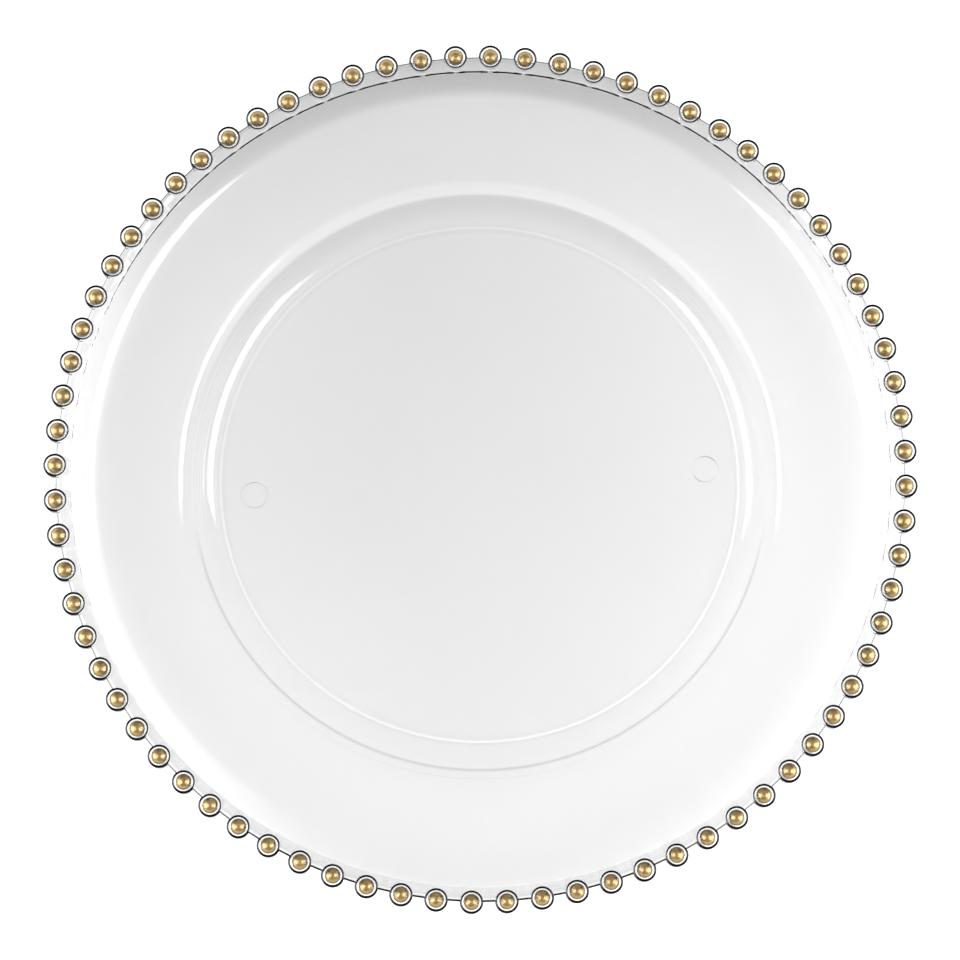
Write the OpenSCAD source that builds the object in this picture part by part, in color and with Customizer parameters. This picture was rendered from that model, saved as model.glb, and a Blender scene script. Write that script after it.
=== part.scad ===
// Round clear charger plate: a moulded dish with a beaded edge and a gold pearl in every bead.
// The origin is on the table under the middle of the plate, +Z is up,
// and +X runs through the first bead and the two ejector marks.

/* [Plate] */
// Diameter over the beads
plate_d = 330; // [300:1:400]
// Height from the table to the top of the beads
plate_h = 30; // [27:0.5:38]
// Thickness of the clear moulding
wall_t = 2.4; // [2:0.1:3.6]

/* [Well] */
// Diameter where the lines of the well floor and the well wall meet
well_d = 203; // [160:1:230]
// Height of the rim's inner corner above the well floor
well_depth = 10.4; // [7:0.1:14]
// Horizontal run of the well wall
well_wall_run = 12.2; // [7:0.1:18]
// Radius between the floor and the wall, on the upper face
well_round = 10; // [4:0.5:24]
// Radius of the shoulder where the wall turns over into the rim, on the upper face
shoulder_round = 5.5; // [3:0.5:24]

/* [Edge] */
// Horizontal run of the sloping wall between the rim and the step
edge_run = 8.4; // [4:0.1:12]
// Rise of that sloping wall
edge_rise = 7; // [3:0.1:9]
// Radius where the rim turns up into the edge, on the upper face
edge_round = 13.5; // [6:0.5:30]
// Height of the small upright step at the flange's inner edge
step_rise = 2.8; // [2:0.1:3.6]
// How far that step leans outwards
step_run = 0.1; // [0.05:0.05:0.8]
// Width of the flange, from its inner edge to the circle of bead centres
flange_w = 5.7; // [4.5:0.1:9]
// Thickness of the flange
flange_t = 2.4; // [1.2:0.1:3.2]
// How far the flange's outer edge leans inwards at its top
flange_draft = 0.6; // [0.1:0.05:0.9]

/* [Beads] */
// Diameter of a clear bead
bead_d = 8.9; // [7:0.1:10]
// Distance from one bead to the next, measured around the circle of their centres
bead_spacing = 13.27; // [11:0.01:20]
// Length of a bead's skirt below its centre
skirt_h = 6.7; // [5:0.1:8]
// How much the skirt narrows towards its lower end, on the radius
skirt_taper = 0.15; // [0:0.05:0.4]
// Diameter of a gold pearl
pearl_d = 4; // [2.5:0.1:5]
// Clearance around a pearl in its socket, on the radius
pearl_clearance = 0.04; // [0.01:0.01:0.1]

/* [Underside] */
// Height of the foot ring
foot_h = 0.8; // [0.6:0.1:2]
// Width of the foot ring where it stands
foot_w = 1; // [0.6:0.1:3]
// Extra width of the foot ring at its root, on each side
foot_flare = 1.6; // [0.2:0.1:3]
// Distance of the foot ring in from the line where floor and wall meet
foot_inset = 2.6; // [1:0.1:12]
// Distance of an ejector mark from the middle of the plate
mark_place = 86; // [20:0.5:88]
// Outer diameter of the ring that an ejector pin leaves
mark_d = 10.8; // [6:0.1:14]
// Width of that ring
mark_w = 1; // [0.5:0.1:2]
// Depth of that ring
mark_depth = 0.15; // [0.05:0.05:0.3]

/* [Hidden] */
// Smoothness of full circles, of beads and pearls, and of the profile's arcs
$fn = 228;
bead_facets = 32;
arc_steps = 6;
// How far a cut runs past the surface it opens, or a joined piece runs into its neighbour
overrun = 0.5;
// Share of a straight that a round may use when the straight has a round at each end
half_share = 0.5;
// Share of the wall that the foot ring's root runs up into
root_share = 0.5;

// Heights of the floor, the bead centres, the flange and the foot of the step
floor_z = foot_h + wall_t;
bead_z = plate_h - bead_d / 2;
flange_z = bead_z - flange_t / 2;
flange_top_z = flange_z + flange_t;
step_z = flange_top_z - step_rise;

// Radii of the bead circle, the flange's inner edge, the step, the rim's two corners and the foot ring
bead_ring_r = (plate_d - bead_d) / 2;
flange_inner_r = bead_ring_r - flange_w;
step_r = flange_inner_r - step_run;
edge_r = step_r - edge_run;
shoulder_r = well_d / 2 + well_wall_run;
foot_r = well_d / 2 - foot_inset;

// Sizes of the sockets
socket_d = pearl_d + 2 * pearl_clearance;

// The beads are counted out from the spacing, and the pearls are set in groups of neighbours
bead_count = round(2 * PI * bead_ring_r / bead_spacing);
group_count = 19;

// Name of one group of pearls, such as gold_pearls_07
function group_name(group) = str("gold_pearls_", group < 10 ? "0" : "", group);

// Angle of the line from point a to point b
function heading(a, b) = atan2(b[1] - a[1], b[0] - a[0]);

// Direction square to a heading, on its left
function left_of(angle) = [-sin(angle), cos(angle)];

// Length of straight that a round takes up on each side of corner b
function round_run(a, b, c, radius, share_before, share_after) =
    min(
        radius * abs(tan((heading(b, c) - heading(a, b)) / 2)),
        share_before * norm(b - a),
        share_after * norm(c - b)
    );

// Points of the arc that rounds corner b, touching both straights at the distance run
function corner_arc(a, b, c, run) =
    let (
        start = heading(a, b),
        bend = heading(b, c) - start,
        radius = run / tan(bend / 2),
        centre = b - run * [cos(start), sin(start)] + radius * left_of(start)
    )
    [for (step = [0:arc_steps]) centre - radius * left_of(start + bend * step / arc_steps)];

// A line parallel to a path, at a distance on its right
function beside(path, distance) =
    let (last = len(path) - 1)
    [
        for (i = [0:last])
        let (
            before = heading(path[max(i, 1) - 1], path[max(i, 1)]),
            after = heading(path[min(i, last - 1)], path[min(i, last - 1) + 1])
        )
        path[i] - distance / cos((after - before) / 2) * left_of((before + after) / 2)
    ];

function reversed(path) = [for (i = [len(path) - 1:-1:0]) path[i]];

// Corners of the dish's upper face, from the axis out to the foot of the step
axis_point = [0, floor_z];
well_corner = [well_d / 2, floor_z];
shoulder_corner = [shoulder_r, floor_z + well_depth];
edge_corner = [edge_r, step_z - edge_rise];
step_corner = [step_r, step_z];

// The upper face with its corners rounded
upper_line = concat(
    [axis_point],
    corner_arc(axis_point, well_corner, shoulder_corner,
        round_run(axis_point, well_corner, shoulder_corner, well_round, half_share, half_share)),
    corner_arc(well_corner, shoulder_corner, edge_corner,
        round_run(well_corner, shoulder_corner, edge_corner, shoulder_round, half_share, half_share)),
    corner_arc(shoulder_corner, edge_corner, step_corner,
        round_run(shoulder_corner, edge_corner, step_corner, edge_round, half_share, 1)),
    [step_corner]
);

// The lower face, and the corner where its last slope meets the flange's underside
lower_line = beside(upper_line, wall_t);
lower_end = lower_line[len(lower_line) - 1];
underside_r = lower_end[0] + (flange_z - lower_end[1]) * edge_run / edge_rise;

module dish_outline() {
    flange_corners = [
        [flange_inner_r, flange_top_z],
        [bead_ring_r - flange_draft, flange_top_z],
        [bead_ring_r, flange_z],
        [underside_r, flange_z]
    ];
    polygon(concat(upper_line, flange_corners, reversed(lower_line)));
}

// The foot ring tapers from its root in the floor down to the width it stands on
module foot_outline() {
    root_w = foot_w + 2 * foot_flare;
    root_z = foot_h + root_share * wall_t;
    polygon([
        [foot_r - foot_w / 2, 0],
        [foot_r + foot_w / 2, 0],
        [foot_r + root_w / 2, foot_h],
        [foot_r + root_w / 2, root_z],
        [foot_r - root_w / 2, root_z],
        [foot_r - root_w / 2, foot_h]
    ]);
}

// Half section of a dome on a straight stem, with the dome's centre at the origin
module domed_outline(radius, stem_h, stem_end_r) {
    intersection() {
        circle(radius, $fn = bead_facets);
        square(radius);
    }
    polygon([[0, 0], [radius, 0], [stem_end_r, -stem_h], [0, -stem_h]]);
}

// Places its children at the centre of each bead from first to last, counted from zero
module at_beads(first, last) {
    for (bead = [first:last])
        rotate([0, 0, 360 * bead / bead_count])
            translate([bead_ring_r, 0, bead_z])
                children();
}

module clear_bead() {
    rotate_extrude($fn = bead_facets)
        domed_outline(bead_d / 2, skirt_h, bead_d / 2 - skirt_taper);
}

// The blind hole that holds a pearl, open at the end of the skirt
module pearl_socket() {
    rotate_extrude($fn = bead_facets)
        domed_outline(socket_d / 2, skirt_h + overrun, socket_d / 2);
}

// The shallow ring that an ejector pin leaves in the underside of the floor
module ejector_mark() {
    translate([0, 0, foot_h - overrun])
        difference() {
            cylinder(h = overrun + mark_depth, d = mark_d);
            cylinder(h = overrun + mark_depth, d = mark_d - 2 * mark_w);
        }
}

// The whole clear moulding
module plate_body() {
    color([0.93, 0.95, 0.96, 0.45])
        difference() {
            union() {
                rotate_extrude() {
                    dish_outline();
                    foot_outline();
                }
                at_beads(0, bead_count - 1) clear_bead();
            }
            at_beads(0, bead_count - 1) pearl_socket();
            for (side = [-1, 1])
                translate([side * mark_place, 0, 0])
                    ejector_mark();
        }
}

// One group of neighbouring pearls, each in the middle of its bead
module gold_pearls(group) {
    first = ceil((group - 1) * bead_count / group_count);
    last = ceil(group * bead_count / group_count) - 1;
    color([0.83, 0.67, 0.36])
        at_beads(first, last)
            sphere(d = pearl_d, $fn = bead_facets);
}

plate_body();
for (group = [1:group_count])
    gold_pearls(group);
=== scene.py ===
"""Clear charger plate with a beaded edge and gold pearls, on a white table between two softboxes."""
import math

import bmesh
import bpy
from mathutils import Matrix, Vector

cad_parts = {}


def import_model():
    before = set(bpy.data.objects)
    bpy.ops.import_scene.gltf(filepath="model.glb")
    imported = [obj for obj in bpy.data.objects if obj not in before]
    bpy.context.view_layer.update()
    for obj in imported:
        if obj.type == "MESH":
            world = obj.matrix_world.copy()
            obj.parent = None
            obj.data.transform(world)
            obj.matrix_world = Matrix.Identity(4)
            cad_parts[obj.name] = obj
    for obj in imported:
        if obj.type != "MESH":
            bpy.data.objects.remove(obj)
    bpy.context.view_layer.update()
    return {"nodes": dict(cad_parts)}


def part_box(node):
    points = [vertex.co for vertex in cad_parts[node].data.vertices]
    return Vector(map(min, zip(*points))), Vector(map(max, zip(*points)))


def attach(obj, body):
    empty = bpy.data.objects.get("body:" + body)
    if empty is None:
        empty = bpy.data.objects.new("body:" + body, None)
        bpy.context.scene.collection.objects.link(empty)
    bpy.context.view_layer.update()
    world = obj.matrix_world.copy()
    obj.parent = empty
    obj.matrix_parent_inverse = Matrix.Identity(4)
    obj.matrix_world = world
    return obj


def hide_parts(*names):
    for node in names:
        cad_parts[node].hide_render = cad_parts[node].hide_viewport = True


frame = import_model()

MM = 0.001
FULL_TURN = 2 * math.pi

# The plate's sizes in millimetres: what the frame tells, then the mould's own sizes
low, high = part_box("plate_body")
PLATE_D = (high.x - low.x) / MM
PLATE_H = (high.z - low.z) / MM
WALL_T = 2.4
WELL_D = 203.0
WELL_DEPTH = 10.4
WELL_WALL_RUN = 12.2
WELL_ROUND = 10.0
SHOULDER_ROUND = 5.5
EDGE_RUN = 8.4
EDGE_RISE = 7.0
EDGE_ROUND = 13.5
STEP_RUN = 0.1
STEP_RISE = 2.8
FLANGE_W = 5.7
FLANGE_T = 2.4
FLANGE_DRAFT = 0.6         # how much the flange's outer edge leans in towards its top
FLANGE_ROUND = 0.3         # softened edges of the flange
BEAD_COUNT = 76
BEAD_D = 8.9
SKIRT_H = 6.7
SKIRT_TAPER = 0.15
PEARL_D = 4.0
PEARL_PRESS = 0.02         # how far the clear body closes over each pearl
FOOT_H = 0.8
FOOT_W = 1.0
FOOT_FLARE = 1.6
FOOT_INSET = 2.6
FOOT_ROUND = 0.3
MARK_PLACE = 86.0
MARK_D = 10.8
MARK_W = 1.0
MARK_DEPTH = 0.15
MARK_SLOPE = 0.2           # how far each side of a mark's groove leans in

# Heights and radii that follow from them
FLOOR_Z = FOOT_H + WALL_T
BEAD_Z = PLATE_H - BEAD_D / 2
FLANGE_Z = BEAD_Z - FLANGE_T / 2
FLANGE_TOP = FLANGE_Z + FLANGE_T
STEP_Z = FLANGE_TOP - STEP_RISE
BEAD_R = BEAD_D / 2
BEAD_RING_R = (PLATE_D - BEAD_D) / 2
FLANGE_INNER_R = BEAD_RING_R - FLANGE_W
STEP_R = FLANGE_INNER_R - STEP_RUN
EDGE_R = STEP_R - EDGE_RUN
FOOT_R = WELL_D / 2 - FOOT_INSET
SOCKET_R = PEARL_D / 2 - PEARL_PRESS

# How finely the meshes are cut
SECTOR_STEPS = 12          # around, for each bead
AROUND = BEAD_COUNT * SECTOR_STEPS
HALF_PITCH = math.pi / BEAD_COUNT
SKIN_ARC_STEPS = 16
FLANGE_ARC_STEPS = 6
FOOT_ARC_STEPS = 8
BEAD_STEPS = 64
MARK_STEPS = 96
PEARL_STEPS = 48
TABLE_STEPS = 96
CUT_R = 140.0              # the outer zone, which holds the beads, starts here
DISC_R = 91.65             # the inner disc, which holds the ejector marks, ends here
OVERRUN = 1.0              # how far a cutting solid runs past the surface that it opens
CREASE = 24                # degrees, from which an edge stays sharp

# How close two places or angles count as one, in millimetres and radians
NEAR_POINT = 1e-5
NEAR_SEAM = 2e-4
NEAR_CIRCLE = 1e-3
NEAR_HEIGHT = 1e-6
NEAR_ANGLE = 1e-6
NEAR_FULL_TURN = 1e-9

# The plate's material slots, and how faces are told apart: the slack that a flat facet needs on a round form
PLAIN, BEAD, RIM, STEP, SKIRT = range(5)
STEP_GAP = 0.2             # share of the pitch, by each bead, where the step stays plain, without the painted dark line
SOCKET_SHADE = 0.5         # how far down its wall a socket shows the painted dark edge
DOME_SLACK = 0.06
SOCKET_SLACK = 0.02
SKIRT_SLACK = 0.1
SKIRT_BULGE = 0.01
BELOW_DOME = 0.01
BELOW_FLANGE = 0.05
UPRIGHT = 0.2              # an upright face's normal rises less than this

# Clear plastic
CLEAR = 0.95
CLEAR_IOR = 1.49
FLOW_STRENGTH = 0.5
FLOW_DEPTH = 0.04          # in millimetres, as the sizes above
FLOW_WAVES = 45            # to the metre
FLOW_DETAIL = 2

# Its dark edges, which are painted shade in a near-black diffuse: from which turn away from the viewer they
# start and are full, 0 facing and 1 edge on
EVEN_BLEND = 0.5           # at which Layer Weight gives that turn evenly
EDGE_PAINTED_SHADE = (0.01, 0.01, 0.012, 1)
EDGE_FROM, EDGE_TO = 0.385, 0.46
RIM_FROM, RIM_TO = 0.04, 0.16
SKIRT_DARK = 0.45          # how dark the painted shade on the beads' skirts gets
END_TO = 86.5              # azimuth of the picture's top
ENDS = 0.05                # how much sooner the painted dark edge sets in towards the picture's top and bottom
HEAVY, HEAVY_TO = 0.02, 280          # how much heavier the painted dark line is on one side, and that side's azimuth

# Where the painted dark edge is lightened towards an azimuth, mostly a softbox's, which is painted light: its
# azimuth, where that starts and is full, and what it leaves
BEAD_PAINTED_LIGHT = [(183, 0.7, 0.95, 0.8), (0, 0.8, 0.97, 0.85)]
RIM_PAINTED_LIGHT = [(183, 0.5, 0.8, 0.15), (-15, 0.5, 0.8, 0.2)]
STEP_PAINTED_LIGHT = [(183, 0.75, 0.95, 0.15), (3, 0.75, 0.92, 0.25), (86.5, 0.3, 0.6, 0.0)]

# Gold
GOLD = (0.66, 0.46, 0.2, 1)
# The darker gold, for the painted shade and for the specks' darker tone
GOLD_SHADE_AND_SPECKS = (0.42, 0.29, 0.12, 1)
WAIST = (0.3, 1.5)         # how far above its middle a pearl starts and ends its change of tone, a painted shade towards its waist
GOLD_ENDS = 0.8            # how much darker the gold is, as painted shade, where it faces the picture's top or bottom
SPECKS = 2200              # to the metre
SPECK_DETAIL = 3
SPECK_TINT = 0.5           # how much of the change of tone the specks make
NOISE_MEAN = 0.5
SPECK_RANGE = (0.3, 0.7)   # the noise values between which the roughness changes
GOLD_ROUGH = (0.32, 0.46)

# The table's size in metres, its colour and its glow, which rises towards one side as painted light
TABLE_R = 1.2
TABLE_WHITE = 0.5
GLOW_LOW = 0.47
GLOW_HIGH = 0.69
GRADE_TO = -50             # azimuth of the side with more painted light
GRADE_R = 0.2              # in metres, where the rise starts and ends on each side of the middle

# Painted light and shade on the table's glow, standing in for what the plate casts on the table, in
# millimetres
# and degrees: a ring's four radii (start, full, still full, gone), the azimuth of its side, how far round it
# is full and gone, and its strength
PAINTED_LIGHT_RINGS = [
    # The edge and the flange: painted shade at the top and the upper right, painted light at the left
    ((157.0, 158.5, 162.0, 163.2), 98, 25, 60, -0.12),
    ((157.0, 158.5, 162.0, 163.2), 28, 10, 35, -0.14),
    ((149.0, 156.0, 163.5, 166.0), 91.5, 22, 62, -0.42),
    ((145.0, 148.5, 161.0, 163.0), 191, 22, 52, 0.2),
    # The shoulder: a little painted shade at the right, and painted light at the top above the well wall's
    # painted shade
    ((112.5, 113.5, 116.0, 117.0), 345, 40, 90, -0.04),
    ((101.0, 111.2, 111.5, 112.8), 90, 35, 80, -0.2),
    ((112.0, 113.1, 113.4, 119.0), 86.5, 40, 78, 0.2),
    # The foot ring's line at the top, evened out with painted light
    ((96.9, 97.4, 98.1, 98.6), 90, 60, 100, 0.05),
    # Broad painted light from each softbox
    ((30.0, 100.0, 170.0, 171.0), 183, 15, 80, 0.09),
    ((30.0, 100.0, 170.0, 171.0), 0, 20, 80, 0.05),
    # The well wall at the bottom in painted light, with the shoulder's thin dark line in painted shade
    ((101.5, 107.5, 108.9, 109.6), 266.5, 60, 85, 0.04),
    ((109.5, 110.0, 110.2, 111.2), 266.5, 68, 86, -0.32),
    # Fine streaks of painted light on the well wall, at the left and the right
    ((105.80, 105.95, 106.10, 106.30), 158, 20, 40, 0.12),
    ((106.90, 107.05, 107.20, 107.40), 158, 20, 40, 0.18),
    ((107.90, 108.05, 108.20, 108.40), 158, 20, 40, 0.16),
    ((108.80, 108.95, 109.10, 109.30), 158, 20, 40, 0.1),
    ((110.10, 110.25, 110.40, 110.60), 158, 20, 40, 0.2),
    ((107.5, 107.9, 108.1, 108.6), 20, 12, 34, 0.07),
    ((109.0, 109.4, 109.6, 110.1), 20, 12, 34, 0.07),
]

# Outside the plate the table is bare and evenly white, and inside the circle its lower glow is painted shade
# under the plate: that circle's shift and its azimuth, and where it starts and is full
BARE_SHIFT, BARE_SHIFT_TO = 3.4, 77.5
BARE_FROM, BARE_TO = 160.2, 163.2

# The world's grey, and the lamps: name, azimuth, elevation, distance, width and height in metres, and power
WORLD = 0.4
LAMPS = [
    ("left_softbox", 187, 42, 1.2, 0.98, 0.53, 8),
    ("right_softbox", -15.7, 42, 1.2, 0.92, 0.53, 8),
    ("left_strip", 187, 4, 1.25, 1.0, 0.3, 8),
    ("right_strip", -15.7, 4, 1.25, 1.0, 0.3, 8),
]

# The camera, in degrees, metres and, for its lens, millimetres
VIEW_TILT = 7.0
VIEW_LEAN = 257.53         # azimuth to which the camera leans from straight above
VIEW_TURN = -3.47          # azimuth of the picture's right-hand side
VIEW_DISTANCE = 2.0697
VIEW_LENS = 205.8
SENSOR = 36.0
CLIP_END = 20
PICTURE = 960
AIM_RIGHT, AIM_UP = 0.99, 4.38          # the bead circle's middle, in pixels from the picture's middle

# Blender's numbers for the colour sockets of a Mix node
MIX_A, MIX_B, MIX_RESULT = 6, 7, 2


def unit(a, b):
    """The direction from point a to point b."""
    run = (b[0] - a[0], b[1] - a[1])
    size = math.hypot(*run)
    return run[0] / size, run[1] / size


def rounded(path, radii, steps):
    """The path with an arc at each corner that has a radius."""
    out = []
    for i, corner in enumerate(path):
        if not radii[i]:
            out.append(corner)
            continue
        before, after = unit(path[i - 1], corner), unit(corner, path[i + 1])
        start = math.atan2(before[1], before[0])
        cross = before[0] * after[1] - before[1] * after[0]
        bend = math.atan2(cross, before[0] * after[0] + before[1] * after[1])
        run = radii[i] * abs(math.tan(bend / 2))
        radius = run / math.tan(bend / 2)
        centre = (
            corner[0] - run * before[0] - radius * math.sin(start),
            corner[1] - run * before[1] + radius * math.cos(start),
        )
        for step in range(steps + 1):
            at = start + bend * step / steps
            out.append((centre[0] + radius * math.sin(at), centre[1] - radius * math.cos(at)))
    return out


def beside(path, distance):
    """A path parallel to the given one, at a distance on its right."""
    out = []
    for i, point in enumerate(path):
        before = unit(path[max(i, 1) - 1], path[max(i, 1)])
        after = unit(path[min(i, len(path) - 2)], path[min(i, len(path) - 2) + 1])
        middle = unit((0, 0), (before[0] + after[0], before[1] + after[1]))
        stretch = distance / (middle[0] * before[0] + middle[1] * before[1])
        out.append((point[0] + stretch * middle[1], point[1] - stretch * middle[0]))
    return out


def skin(stretch):
    """The rounded line of the upper skin up to the step's foot, or past it by a stretch of the last slope."""
    corners = [
        (0, FLOOR_Z),
        (WELL_D / 2, FLOOR_Z),
        (WELL_D / 2 + WELL_WALL_RUN, FLOOR_Z + WELL_DEPTH),
        (EDGE_R, STEP_Z - EDGE_RISE),
        (STEP_R + stretch, STEP_Z + stretch * EDGE_RISE / EDGE_RUN),
    ]
    return rounded(corners, [0, WELL_ROUND, SHOULDER_ROUND, EDGE_ROUND, 0], SKIN_ARC_STEPS)


def split(path, radius):
    """The path's two parts, inside and outside a radius, which share one point on it."""
    for i in range(len(path) - 1):
        a, b = path[i], path[i + 1]
        if a[0] < radius <= b[0]:
            share = (radius - a[0]) / (b[0] - a[0])
            point = (radius, a[1] + share * (b[1] - a[1]))
            beyond = [p for p in path[i + 1:] if p[0] > radius + NEAR_HEIGHT]
            return path[:i + 1] + [point], [point] + beyond
    raise ValueError("the path doesn't cross that radius")


def is_full_turn(first, last):
    return abs(last - first - FULL_TURN) < NEAR_FULL_TURN


def lathe(bm, path, first, last, steps):
    """Revolves an open path of (radius, height) from one angle to another."""
    rings = []
    for step in range(steps if is_full_turn(first, last) else steps + 1):
        at = first + (last - first) * step / steps
        rings.append([bm.verts.new((r * math.cos(at), r * math.sin(at), z)) for r, z in path])
    for i in range(steps):
        a, b = rings[i], rings[(i + 1) % len(rings)]
        for j in range(len(path) - 1):
            bm.faces.new((a[j], b[j], b[j + 1], a[j + 1]))
    return rings


def mesh_of(name, bm):
    """A named mesh made from the bmesh, which is used up."""
    mesh = bpy.data.meshes.new(name)
    bm.to_mesh(mesh)
    bm.free()
    return mesh


def placed(name, data):
    """A new object in the scene that shows a mesh, a lamp or a camera."""
    obj = bpy.data.objects.new(name, data)
    bpy.context.scene.collection.objects.link(obj)
    return obj


def solid(name, path, first=0.0, last=FULL_TURN, steps=BEAD_STEPS):
    """A closed solid revolved from a closed path; a part turn is capped at both ends."""
    bm = bmesh.new()
    rings = lathe(bm, path + [path[0]], first, last, steps)
    if not is_full_turn(first, last):
        bm.faces.new(rings[0][:-1])
        bm.faces.new(list(reversed(rings[-1][:-1])))
    bmesh.ops.remove_doubles(bm, verts=bm.verts, dist=NEAR_POINT)
    bmesh.ops.dissolve_degenerate(bm, dist=NEAR_HEIGHT, edges=bm.edges)
    bmesh.ops.recalc_face_normals(bm, faces=bm.faces)
    return placed(name, mesh_of(name, bm))


def combined(base, tool, how):
    """The base after a boolean with the tool, which is used up."""
    mod = base.modifiers.new("cut", "BOOLEAN")
    mod.operation, mod.object, mod.solver = how, tool, "EXACT"
    bpy.context.view_layer.update()
    done = bpy.data.meshes.new_from_object(base.evaluated_get(bpy.context.evaluated_depsgraph_get()))
    base.modifiers.clear()
    old, base.data = base.data, done
    bpy.data.meshes.remove(old)
    bpy.data.objects.remove(tool)
    return base


def taken(obj):
    """The object's mesh as a bmesh; the object is removed."""
    bm = bmesh.new()
    bm.from_mesh(obj.data)
    mesh = obj.data
    bpy.data.objects.remove(obj)
    bpy.data.meshes.remove(mesh)
    return bm


def on_circle(face, radius):
    return all(abs(math.hypot(v.co.x, v.co.y) - radius) < NEAR_CIRCLE for v in face.verts)


def on_angle(face, angle):
    return all(abs(math.atan2(v.co.y, v.co.x) - angle) < NEAR_ANGLE for v in face.verts)


def domed(radius, stem_h, stem_r):
    """Half section of a dome on a stem, from the top of the dome to the middle of the stem's end."""
    steps = BEAD_STEPS // 4
    quarter = [math.pi / 2 * i / steps for i in range(steps + 1)]
    dome = [(radius * math.sin(at), radius * math.cos(at)) for at in quarter]
    return dome + [(stem_r, -stem_h), (0, -stem_h)]


def slot_of(face):
    """The material slot of one face in a bead's sector."""
    middle = face.calc_center_median()
    from_axis = math.hypot(middle.x, middle.y)
    from_bead = math.hypot(middle.x - BEAD_RING_R, middle.y)
    if from_bead > BEAD_R and from_axis > BEAD_RING_R - FLANGE_DRAFT - FLANGE_ROUND:
        return RIM
    in_gap = abs(math.atan2(middle.y, middle.x)) < STEP_GAP * HALF_PITCH
    if STEP_R < from_axis < FLANGE_INNER_R + FLANGE_ROUND and middle.z > STEP_Z and not in_gap:
        return STEP
    upright_below = middle.z < FLANGE_Z - BELOW_FLANGE and abs(face.normal.z) < UPRIGHT
    if BEAD_R - SKIRT_TAPER - SKIRT_SLACK < from_bead < BEAD_R + SKIRT_BULGE and upright_below:
        return SKIRT
    off_dome = abs(math.hypot(from_bead, middle.z - BEAD_Z) - BEAD_R)
    if off_dome < DOME_SLACK and middle.z > BEAD_Z:
        return BEAD
    # The top of each socket's wall takes the bead's painted dark edge
    in_shade = BEAD_Z - SOCKET_SHADE < middle.z < BEAD_Z - BELOW_DOME
    if from_bead < SOCKET_R + SOCKET_SLACK and in_shade:
        return BEAD
    return PLAIN


def edge_section(outer_upper, outer_lower):
    """The closed line round the plate's outer zone, with the flange's corners softened."""
    underside = [p for p in outer_lower if p[1] < FLANGE_Z - NEAR_HEIGHT]
    a, b = underside[-1], outer_lower[len(underside)]
    corner = (a[0] + (FLANGE_Z - a[1]) * (b[0] - a[0]) / (b[1] - a[1]), FLANGE_Z)
    flange = [
        outer_upper[-2],
        outer_upper[-1],
        (FLANGE_INNER_R, FLANGE_TOP),
        (BEAD_RING_R - FLANGE_DRAFT, FLANGE_TOP),
        (BEAD_RING_R, FLANGE_Z),
        corner,
        a,
    ]
    soft = rounded(flange, [0] + [FLANGE_ROUND] * 5 + [0], FLANGE_ARC_STEPS)
    return outer_upper[:-2] + soft[:-1] + list(reversed(underside))


def bead_sector(outer_upper, outer_lower):
    """One bead with its own stretch of the edge, open where the next stretch and the inner zone go on."""
    place = Matrix.Translation((BEAD_RING_R, 0, BEAD_Z))
    sector = solid("sector", edge_section(outer_upper, outer_lower), -HALF_PITCH, HALF_PITCH, SECTOR_STEPS)
    bead = solid("bead", domed(BEAD_R, SKIRT_H, BEAD_R - SKIRT_TAPER))
    bead.data.transform(place)
    sector = combined(sector, bead, "UNION")
    hole = domed(SOCKET_R, SKIRT_H + OVERRUN, SOCKET_R)
    socket = solid("socket", hole[:-2] + [(SOCKET_R, -SOCKET_SHADE)] + hole[-2:])
    socket.data.transform(place)
    bm = taken(combined(sector, socket, "DIFFERENCE"))
    open_sides = [
        face for face in bm.faces
        if on_circle(face, CUT_R) or on_angle(face, -HALF_PITCH) or on_angle(face, HALF_PITCH)
    ]
    bmesh.ops.delete(bm, geom=open_sides, context="FACES")
    for face in bm.faces:
        face.material_index = slot_of(face)
    return mesh_of("sector", bm)


def ejector_ring(side):
    """The cutting solid for the shallow ring on one side of the underside."""
    outer, inner = MARK_D / 2, MARK_D / 2 - MARK_W
    section = [
        (inner, FOOT_H - OVERRUN),
        (outer, FOOT_H - OVERRUN),
        (outer, FOOT_H),
        (outer - MARK_SLOPE, FOOT_H + MARK_DEPTH),
        (inner + MARK_SLOPE, FOOT_H + MARK_DEPTH),
        (inner, FOOT_H),
    ]
    ring = solid("mark", section, steps=MARK_STEPS)
    ring.data.transform(Matrix.Translation((side * MARK_PLACE, 0, 0)))
    return ring


def marked_disc():
    """The middle of the floor, with the two ejector marks in its underside, and open at its rim."""
    section = [(0, FOOT_H), (DISC_R, FOOT_H), (DISC_R, FLOOR_Z), (0, FLOOR_Z)]
    disc = solid("disc", section, -HALF_PITCH, FULL_TURN - HALF_PITCH, AROUND)
    for side in (-1, 1):
        disc = combined(disc, ejector_ring(side), "DIFFERENCE")
    bm = taken(disc)
    bmesh.ops.delete(bm, geom=[face for face in bm.faces if on_circle(face, DISC_R)], context="FACES")
    return mesh_of("disc", bm)


def footed(lower_middle):
    """The lower line of the middle zone with the foot ring on it."""
    floor_part, rest = split(lower_middle, FOOT_R - FOOT_W / 2 - FOOT_FLARE)
    _, wall_part = split(rest, FOOT_R + FOOT_W / 2 + FOOT_FLARE)
    foot = [floor_part[-1], (FOOT_R - FOOT_W / 2, 0), (FOOT_R + FOOT_W / 2, 0), wall_part[0]]
    return floor_part[:-1] + rounded(foot, [0, FOOT_ROUND, FOOT_ROUND, 0], FOOT_ARC_STEPS) + wall_part[1:]


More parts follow.
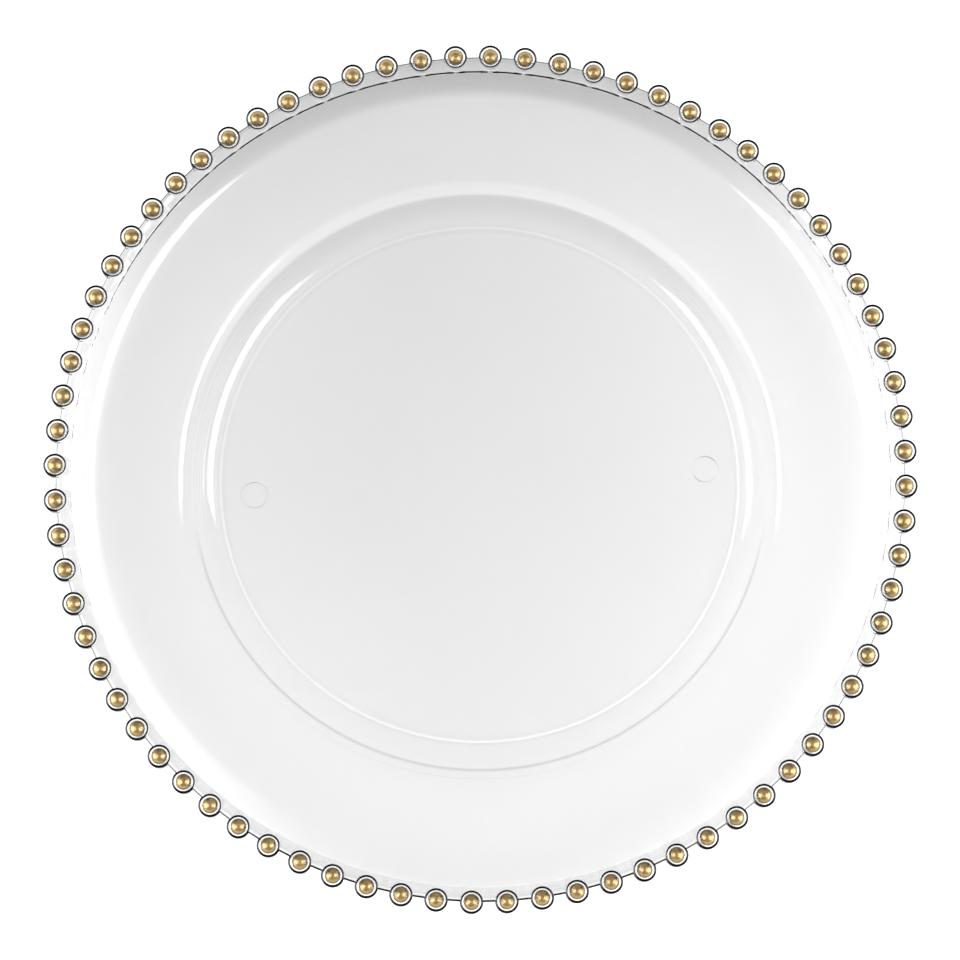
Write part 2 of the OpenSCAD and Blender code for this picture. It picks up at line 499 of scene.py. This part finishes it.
def clear_moulding():
    """The whole clear plate as one closed mesh: disc, lathe-turned middle, and a sector for each bead."""
    upper_inner, upper_outer = split(skin(0), CUT_R)
    lower_inner, lower_outer = split(beside(skin(FLANGE_W), WALL_T), CUT_R)
    _, upper_middle = split(upper_inner, DISC_R)
    _, lower_middle = split(lower_inner, DISC_R)
    bm = bmesh.new()
    for line in (upper_middle, list(reversed(footed(lower_middle)))):
        lathe(bm, line, -HALF_PITCH, FULL_TURN - HALF_PITCH, AROUND)
    bm.from_mesh(marked_disc())
    sector = bead_sector(upper_outer, lower_outer)
    for bead in range(BEAD_COUNT):
        start = len(bm.verts)
        bm.from_mesh(sector)
        bm.verts.ensure_lookup_table()
        turn = Matrix.Rotation(FULL_TURN * bead / BEAD_COUNT, 3, "Z")
        bmesh.ops.rotate(bm, cent=(0, 0, 0), matrix=turn, verts=bm.verts[start:])
    bmesh.ops.remove_doubles(bm, verts=bm.verts, dist=NEAR_SEAM)
    bmesh.ops.recalc_face_normals(bm, faces=bm.faces)
    for face in bm.faces:
        face.smooth = True
    for edge in bm.edges:
        edge.smooth = len(edge.link_faces) == 2 and edge.calc_face_angle() < math.radians(CREASE)
    open_edges = sum(1 for edge in bm.edges if len(edge.link_faces) != 2)
    print("clear moulding: faces", len(bm.faces), "open edges", open_edges)
    bmesh.ops.scale(bm, vec=(MM, MM, MM), verts=bm.verts)
    return placed("clear_moulding", mesh_of("clear_moulding", bm))


def pearls(name, first, last):
    """One group of neighbouring pearls."""
    bm = bmesh.new()
    for bead in range(first, last + 1):
        at = FULL_TURN * bead / BEAD_COUNT
        bmesh.ops.create_uvsphere(
            bm,
            u_segments=PEARL_STEPS,
            v_segments=PEARL_STEPS // 2,
            radius=PEARL_D / 2,
            matrix=Matrix.Translation((BEAD_RING_R * math.cos(at), BEAD_RING_R * math.sin(at), BEAD_Z)),
        )
    for face in bm.faces:
        face.smooth = True
    bmesh.ops.scale(bm, vec=(MM, MM, MM), verts=bm.verts)
    return placed(name, mesh_of(name, bm))


def grey(level):
    return level, level, level, 1


def towards(azimuth, length=1):
    """A level vector of some length towards an azimuth."""
    at = math.radians(azimuth)
    return length * math.cos(at), length * math.sin(at), 0


class Tree:
    """A material's or the world's nodes, with a short call for each kind that is used here."""

    def __init__(self, owner):
        owner.use_nodes = True
        self.nodes = owner.node_tree.nodes
        self.link = owner.node_tree.links.new

    def out(self, kind, output):
        """One output of a new node that needs no input."""
        return self.nodes.new(kind).outputs[output]

    def feed(self, sockets, values):
        """Sets each socket to its value, or links it where the value is another node's output."""
        for socket, value in zip(sockets, values):
            if isinstance(value, bpy.types.NodeSocket):
                self.link(value, socket)
            else:
                socket.default_value = value

    def math(self, operation, *values):
        node = self.nodes.new("ShaderNodeMath")
        node.operation = operation
        self.feed(node.inputs, values)
        return node.outputs[0]

    def vector(self, operation, *values):
        node = self.nodes.new("ShaderNodeVectorMath")
        node.operation = operation
        self.feed(node.inputs, values)
        return node.outputs["Value" if operation in ("DOT_PRODUCT", "LENGTH") else "Vector"]

    def along(self, place, azimuth):
        """How far a place lies towards an azimuth."""
        return self.vector("DOT_PRODUCT", place, towards(azimuth))

    def level(self, value, low_at, high_at, low_value, high_value):
        """A value mapped smoothly from one range to another."""
        node = self.nodes.new("ShaderNodeMapRange")
        node.interpolation_type = "SMOOTHSTEP"
        names = ("Value", "From Min", "From Max", "To Min", "To Max")
        self.feed([node.inputs[name] for name in names], (value, low_at, high_at, low_value, high_value))
        return node.outputs["Result"]

    def noise(self, place, scale, detail):
        node = self.nodes.new("ShaderNodeTexNoise")
        self.feed([node.inputs[name] for name in ("Vector", "Scale", "Detail")], (place, scale, detail))
        return node.outputs["Fac"]

    def blend(self, share, colour_a, colour_b):
        """One colour turning into another as the share rises."""
        node = self.nodes.new("ShaderNodeMix")
        node.data_type = "RGBA"
        self.feed([node.inputs[0], node.inputs[MIX_A], node.inputs[MIX_B]], (share, colour_a, colour_b))
        return node.outputs[MIX_RESULT]


def material(name):
    """A new material with its nodes and its Principled shader."""
    mat = bpy.data.materials.new(name)
    tree = Tree(mat)
    return mat, tree, tree.nodes["Principled BSDF"]


def acrylic(name):
    """Clear plastic with the slight waviness that a moulded surface keeps."""
    mat, tree, shader = material(name)
    shader.inputs["Base Color"].default_value = grey(CLEAR)
    shader.inputs["Roughness"].default_value = 0
    shader.inputs["IOR"].default_value = CLEAR_IOR
    shader.inputs["Transmission Weight"].default_value = 1
    bump = tree.nodes.new("ShaderNodeBump")
    bump.inputs["Strength"].default_value = FLOW_STRENGTH
    bump.inputs["Distance"].default_value = FLOW_DEPTH * MM
    place = tree.out("ShaderNodeTexCoord", "Object")
    tree.link(tree.noise(place, FLOW_WAVES, FLOW_DETAIL), bump.inputs["Height"])
    tree.link(bump.outputs["Normal"], shader.inputs["Normal"])
    return mat, tree, shader


def edge_acrylic(name, dark_from, dark_to, painted_side_light, darkest=1.0):
    """The same clear plastic with painted shade: a near-black diffuse mixed in where it curves away from the
    viewer.
    """
    mat, tree, shader = acrylic(name)
    normal = tree.out("ShaderNodeNewGeometry", "Normal")
    turn = tree.nodes.new("ShaderNodeLayerWeight")
    turn.inputs["Blend"].default_value = EVEN_BLEND
    leaning = tree.vector("ADD", normal, towards(HEAVY_TO, HEAVY))
    tree.link(tree.vector("NORMALIZE", leaning), turn.inputs["Normal"])
    end = tree.along(normal, END_TO)
    ramp = tree.nodes.new("ShaderNodeValToRGB")
    ramp.color_ramp.interpolation = "EASE"
    clear_end, dark_end = ramp.color_ramp.elements
    clear_end.position, clear_end.color = dark_from, grey(0)
    dark_end.position, dark_end.color = dark_to, grey(darkest)
    turned = tree.math("MULTIPLY_ADD", tree.math("MULTIPLY", end, end), ENDS, turn.outputs["Facing"])
    tree.link(turned, ramp.inputs[0])
    share = ramp.outputs["Color"]
    # Less of the painted dark edge towards each given azimuth, as painted light
    for azimuth, start, full, left in painted_side_light:
        share = tree.math("MULTIPLY", share, tree.level(tree.along(normal, azimuth), start, full, 1, left))
    # The near-black diffuse that paints the dark edge
    dark = tree.nodes.new("ShaderNodeBsdfDiffuse")
    dark.inputs["Color"].default_value = EDGE_PAINTED_SHADE
    mix = tree.nodes.new("ShaderNodeMixShader")
    tree.feed(mix.inputs, (share, shader.outputs[0], dark.outputs[0]))
    tree.link(mix.outputs[0], tree.nodes["Material Output"].inputs["Surface"])
    return mat


def gold():
    """Gold with painted shade towards a pearl's waist and where it faces the picture's top or bottom, and
    fine specks.
    """
    mat, tree, shader = material("gold_pearl")
    place = tree.out("ShaderNodeTexCoord", "Object")
    apart = tree.nodes.new("ShaderNodeSeparateXYZ")
    tree.link(place, apart.inputs[0])
    above_waist = tree.level(apart.outputs["Z"], (BEAD_Z + WAIST[0]) * MM, (BEAD_Z + WAIST[1]) * MM, 0, 1)
    end = tree.along(tree.out("ShaderNodeNewGeometry", "Normal"), END_TO)
    off_ends = tree.math("MULTIPLY_ADD", tree.math("MULTIPLY", end, end), -GOLD_ENDS, 1)
    painted_light_share = tree.math("MULTIPLY", above_waist, off_ends)
    specks = tree.noise(place, SPECKS, SPECK_DETAIL)
    share = tree.math("MULTIPLY_ADD", tree.math("SUBTRACT", specks, NOISE_MEAN), SPECK_TINT, painted_light_share)
    tree.link(tree.blend(share, GOLD_SHADE_AND_SPECKS, GOLD), shader.inputs["Base Color"])
    tree.link(tree.level(specks, *SPECK_RANGE, *GOLD_ROUGH), shader.inputs["Roughness"])
    shader.inputs["Metallic"].default_value = 1
    return mat


def painted_light_ring(tree, place, radii, toward, full, gone):
    """A soft ring on one side of the table, for painted light and shade that stand in for what the plate's
    curved wall casts.
    """
    reach = tree.vector("LENGTH", place)
    rise = tree.level(reach, radii[0] * MM, radii[1] * MM, 0, 1)
    fall = tree.level(reach, radii[2] * MM, radii[3] * MM, 1, 0)
    facing = tree.along(tree.vector("NORMALIZE", place), toward)
    mask = tree.level(facing, math.cos(math.radians(gone)), math.cos(math.radians(full)), 0, 1)
    return tree.math("MULTIPLY", tree.math("MULTIPLY", rise, fall), mask)


def table_white():
    """The table's white, which glows for the camera and through the plate and shows the plate's own shadow;
    its glow also carries painted light and shade under the plate.
    """
    mat, tree, shader = material("table_white")
    shader.inputs["Base Color"].default_value = grey(TABLE_WHITE)
    shader.inputs["Roughness"].default_value = 1
    shader.inputs["Specular IOR Level"].default_value = 0
    path = tree.nodes.new("ShaderNodeLightPath").outputs
    seen = tree.math("MAXIMUM", path["Is Camera Ray"], path["Is Glossy Ray"])
    seen = tree.math("MAXIMUM", seen, path["Is Transmission Ray"])
    place = tree.out("ShaderNodeTexCoord", "Object")
    # The glow, with painted light that rises towards one side
    painted_glow = tree.level(tree.along(place, GRADE_TO), -GRADE_R, GRADE_R, GLOW_LOW, GLOW_HIGH)
    # Each ring paints light and shade into the glow
    for *ring, gain in PAINTED_LIGHT_RINGS:
        change = tree.math("MULTIPLY_ADD", painted_light_ring(tree, place, *ring), gain, 1)
        painted_glow = tree.math("MULTIPLY", painted_glow, change)
    # Beyond this circle the glow is full white; inside it the lower glow is painted shade under the plate
    from_middle = tree.vector("SUBTRACT", place, towards(BARE_SHIFT_TO, BARE_SHIFT * MM))
    bare = tree.level(tree.vector("LENGTH", from_middle), BARE_FROM * MM, BARE_TO * MM, 0, 1)
    shader.inputs["Emission Color"].default_value = grey(1)
    glow = tree.math("MULTIPLY", seen, tree.math("MAXIMUM", painted_glow, bare))
    tree.link(glow, shader.inputs["Emission Strength"])
    return mat


def table():
    bm = bmesh.new()
    bmesh.ops.create_circle(bm, cap_ends=True, segments=TABLE_STEPS, radius=TABLE_R)
    obj = placed("table", mesh_of("table", bm))
    obj.data.materials.append(table_white())


def lamp(name, azimuth, elevation, distance, width, height, power):
    """An area lamp that points at the plate."""
    light = bpy.data.lights.new(name, "AREA")
    light.shape = "RECTANGLE"
    light.size, light.size_y = width, height
    light.energy = power
    obj = placed(name, light)
    up = math.radians(elevation)
    obj.location = (Vector(towards(azimuth, math.cos(up))) + Vector((0, 0, math.sin(up)))) * distance
    obj.rotation_euler = obj.location.to_track_quat("Z", "Y").to_euler()


def world():
    """Plain grey light all round, with white where the camera looks past the table."""
    studio = bpy.data.worlds.new("studio")
    tree = Tree(studio)
    colour = tree.blend(tree.out("ShaderNodeLightPath", "Is Camera Ray"), grey(WORLD), grey(1))
    tree.link(colour, tree.nodes["Background"].inputs["Color"])
    bpy.context.scene.world = studio


def camera():
    data = bpy.data.cameras.new("camera")
    data.lens, data.sensor_width, data.sensor_fit = VIEW_LENS, SENSOR, "HORIZONTAL"
    data.clip_end = CLIP_END
    obj = placed("camera", data)
    tilt = math.radians(VIEW_TILT)
    back = Vector(towards(VIEW_LEAN, math.sin(tilt))) + Vector((0, 0, math.cos(tilt)))
    right = Vector(towards(VIEW_TURN + 90)).cross(back).normalized()
    up = back.cross(right)
    pixel = VIEW_DISTANCE * SENSOR / VIEW_LENS / PICTURE
    aim = Vector((0, 0, BEAD_Z * MM)) - right * AIM_RIGHT * pixel - up * AIM_UP * pixel
    turn = Matrix((right, up, back)).transposed().to_4x4()
    obj.matrix_world = Matrix.Translation(aim + back * VIEW_DISTANCE) @ turn
    bpy.context.scene.camera = obj


# The clear moulding, with its materials in the order of the slots, the last four with painted dark edges
plate = clear_moulding()
plate.data.materials.append(acrylic("clear_acrylic")[0])
plate.data.materials.append(edge_acrylic("clear_acrylic_bead", EDGE_FROM, EDGE_TO, BEAD_PAINTED_LIGHT))
plate.data.materials.append(edge_acrylic("clear_acrylic_rim", RIM_FROM, RIM_TO, RIM_PAINTED_LIGHT))
plate.data.materials.append(edge_acrylic("clear_acrylic_step", EDGE_FROM, EDGE_TO, STEP_PAINTED_LIGHT))
plate.data.materials.append(edge_acrylic("clear_acrylic_skirt", EDGE_FROM, EDGE_TO, [], SKIRT_DARK))
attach(plate, "root")
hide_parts("plate_body")

# The pearls, in the same groups of neighbours as the CAD's
groups = sorted(node for node in frame["nodes"] if node.startswith("gold_pearls_"))
gold_material = gold()
for index, node in enumerate(groups):
    first = math.ceil(index * BEAD_COUNT / len(groups))
    last = math.ceil((index + 1) * BEAD_COUNT / len(groups)) - 1
    group = pearls(node + "_polished", first, last)
    group.data.materials.append(gold_material)
    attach(group, "root")
    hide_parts(node)

table()
for lamp_values in LAMPS:
    lamp(*lamp_values)
world()
camera()
bpy.context.scene.view_settings.view_transform = "Standard"
